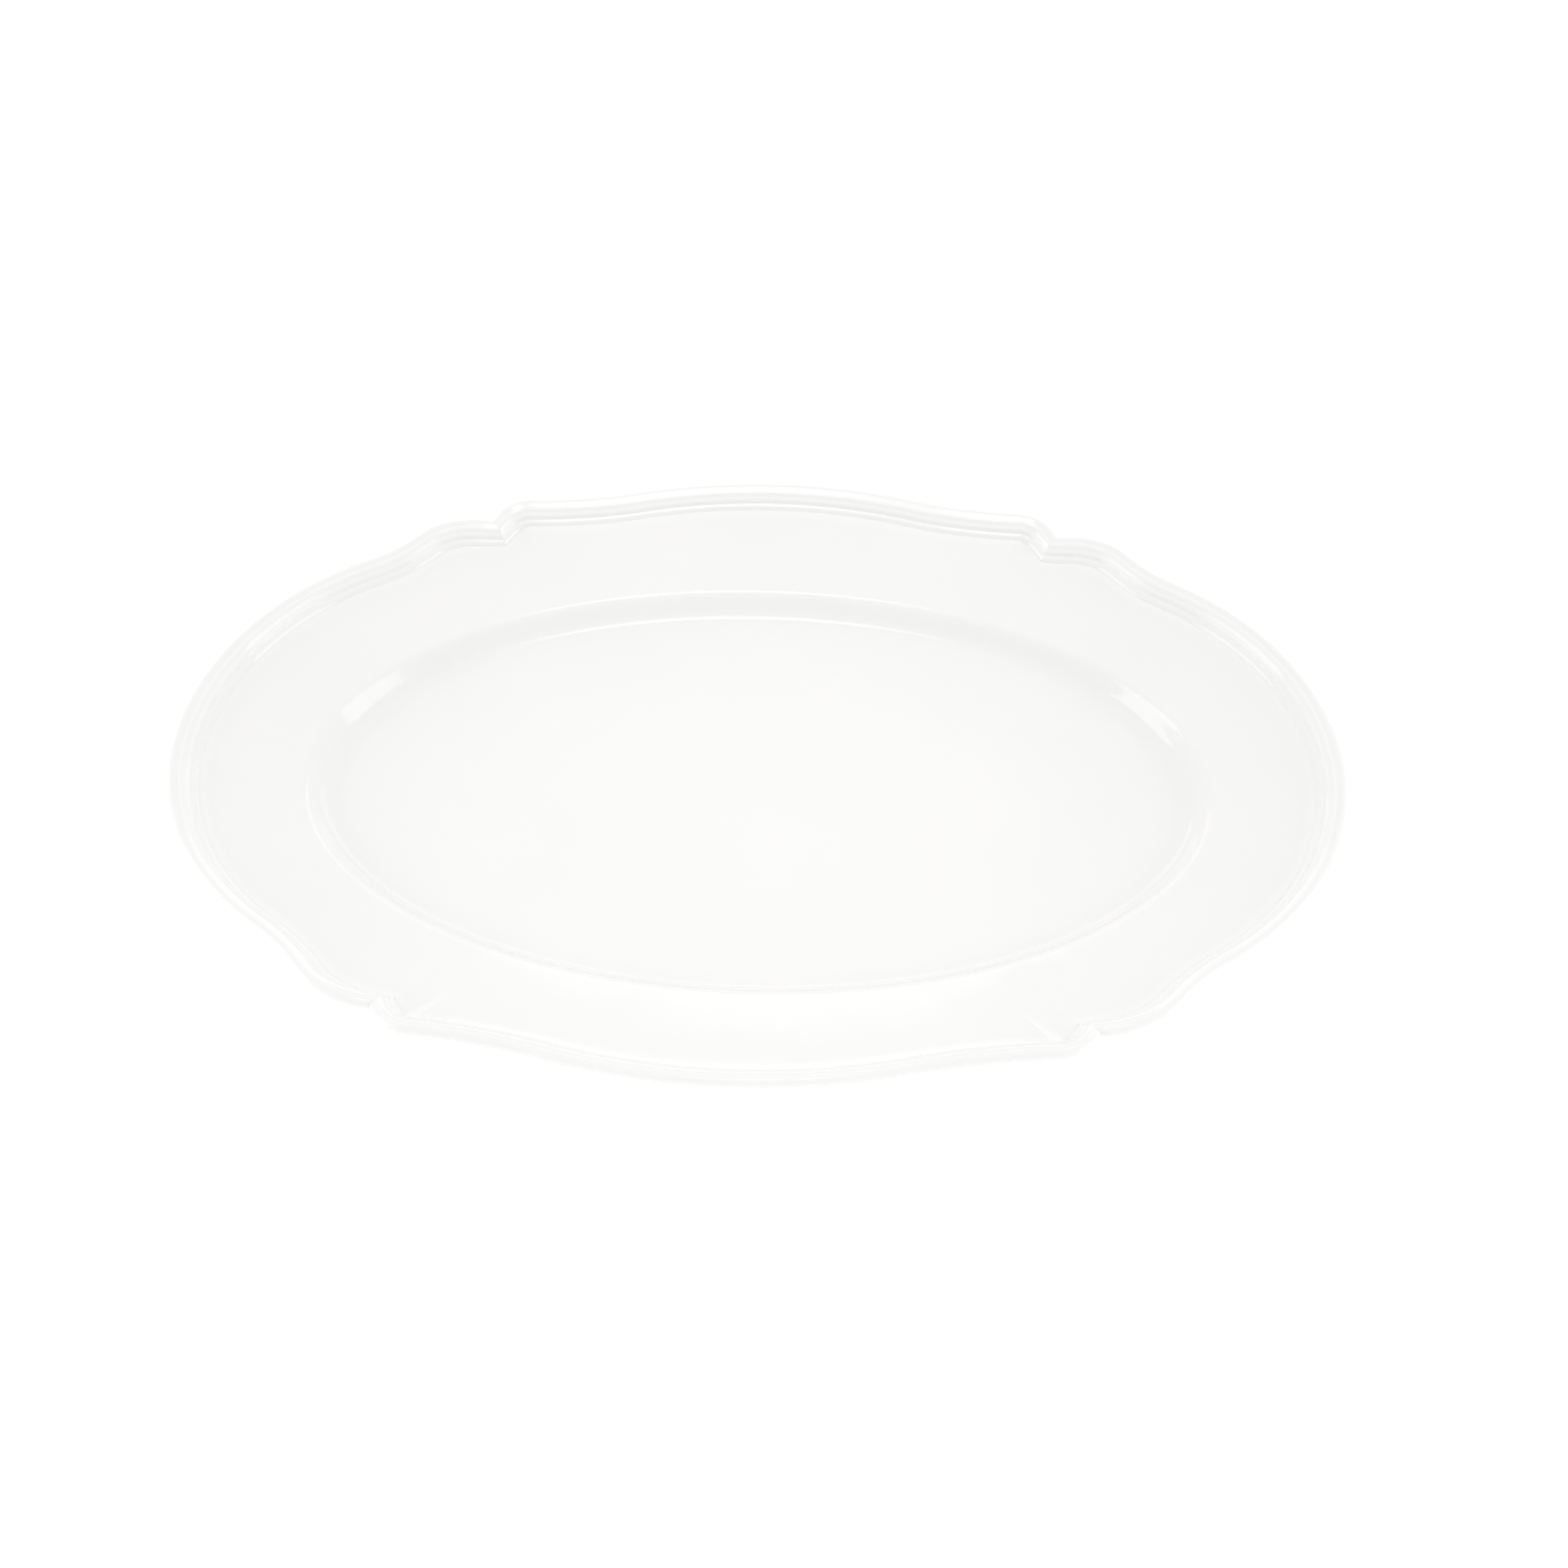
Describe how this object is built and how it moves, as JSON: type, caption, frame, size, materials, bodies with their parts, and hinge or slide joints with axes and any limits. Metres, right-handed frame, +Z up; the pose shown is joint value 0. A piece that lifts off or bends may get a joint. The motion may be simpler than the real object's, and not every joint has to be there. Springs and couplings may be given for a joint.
{
  "type": "oval serving platter",
  "caption": "Oval serving platter in white glazed porcelain, with a flat well, a wide sloping flange and a scalloped outline with cusps and a moulded reeded border.",
  "frame": {"origin": "centre of the platter in plan, on the resting plane of the foot ring", "axes": "+X along the length, +Y along the width, +Z up out of the well"},
  "size_m": [0.382, 0.274, 0.0322],
  "materials": {
    "porcelain": "white fired porcelain under the glaze",
    "biscuit": "bare fired clay, ground smooth and matte",
    "face_glaze": "clear gloss glaze over white porcelain",
    "back_glaze": "clear gloss glaze over white porcelain",
    "base_glaze": "clear gloss glaze over white porcelain"
  },
  "bodies": {
    "root": {"body": "porcelain", "foot_ring": "biscuit", "face_glaze": "face_glaze", "back_glaze": "back_glaze", "base_glaze": "base_glaze"}
  },
  "joints": []
}
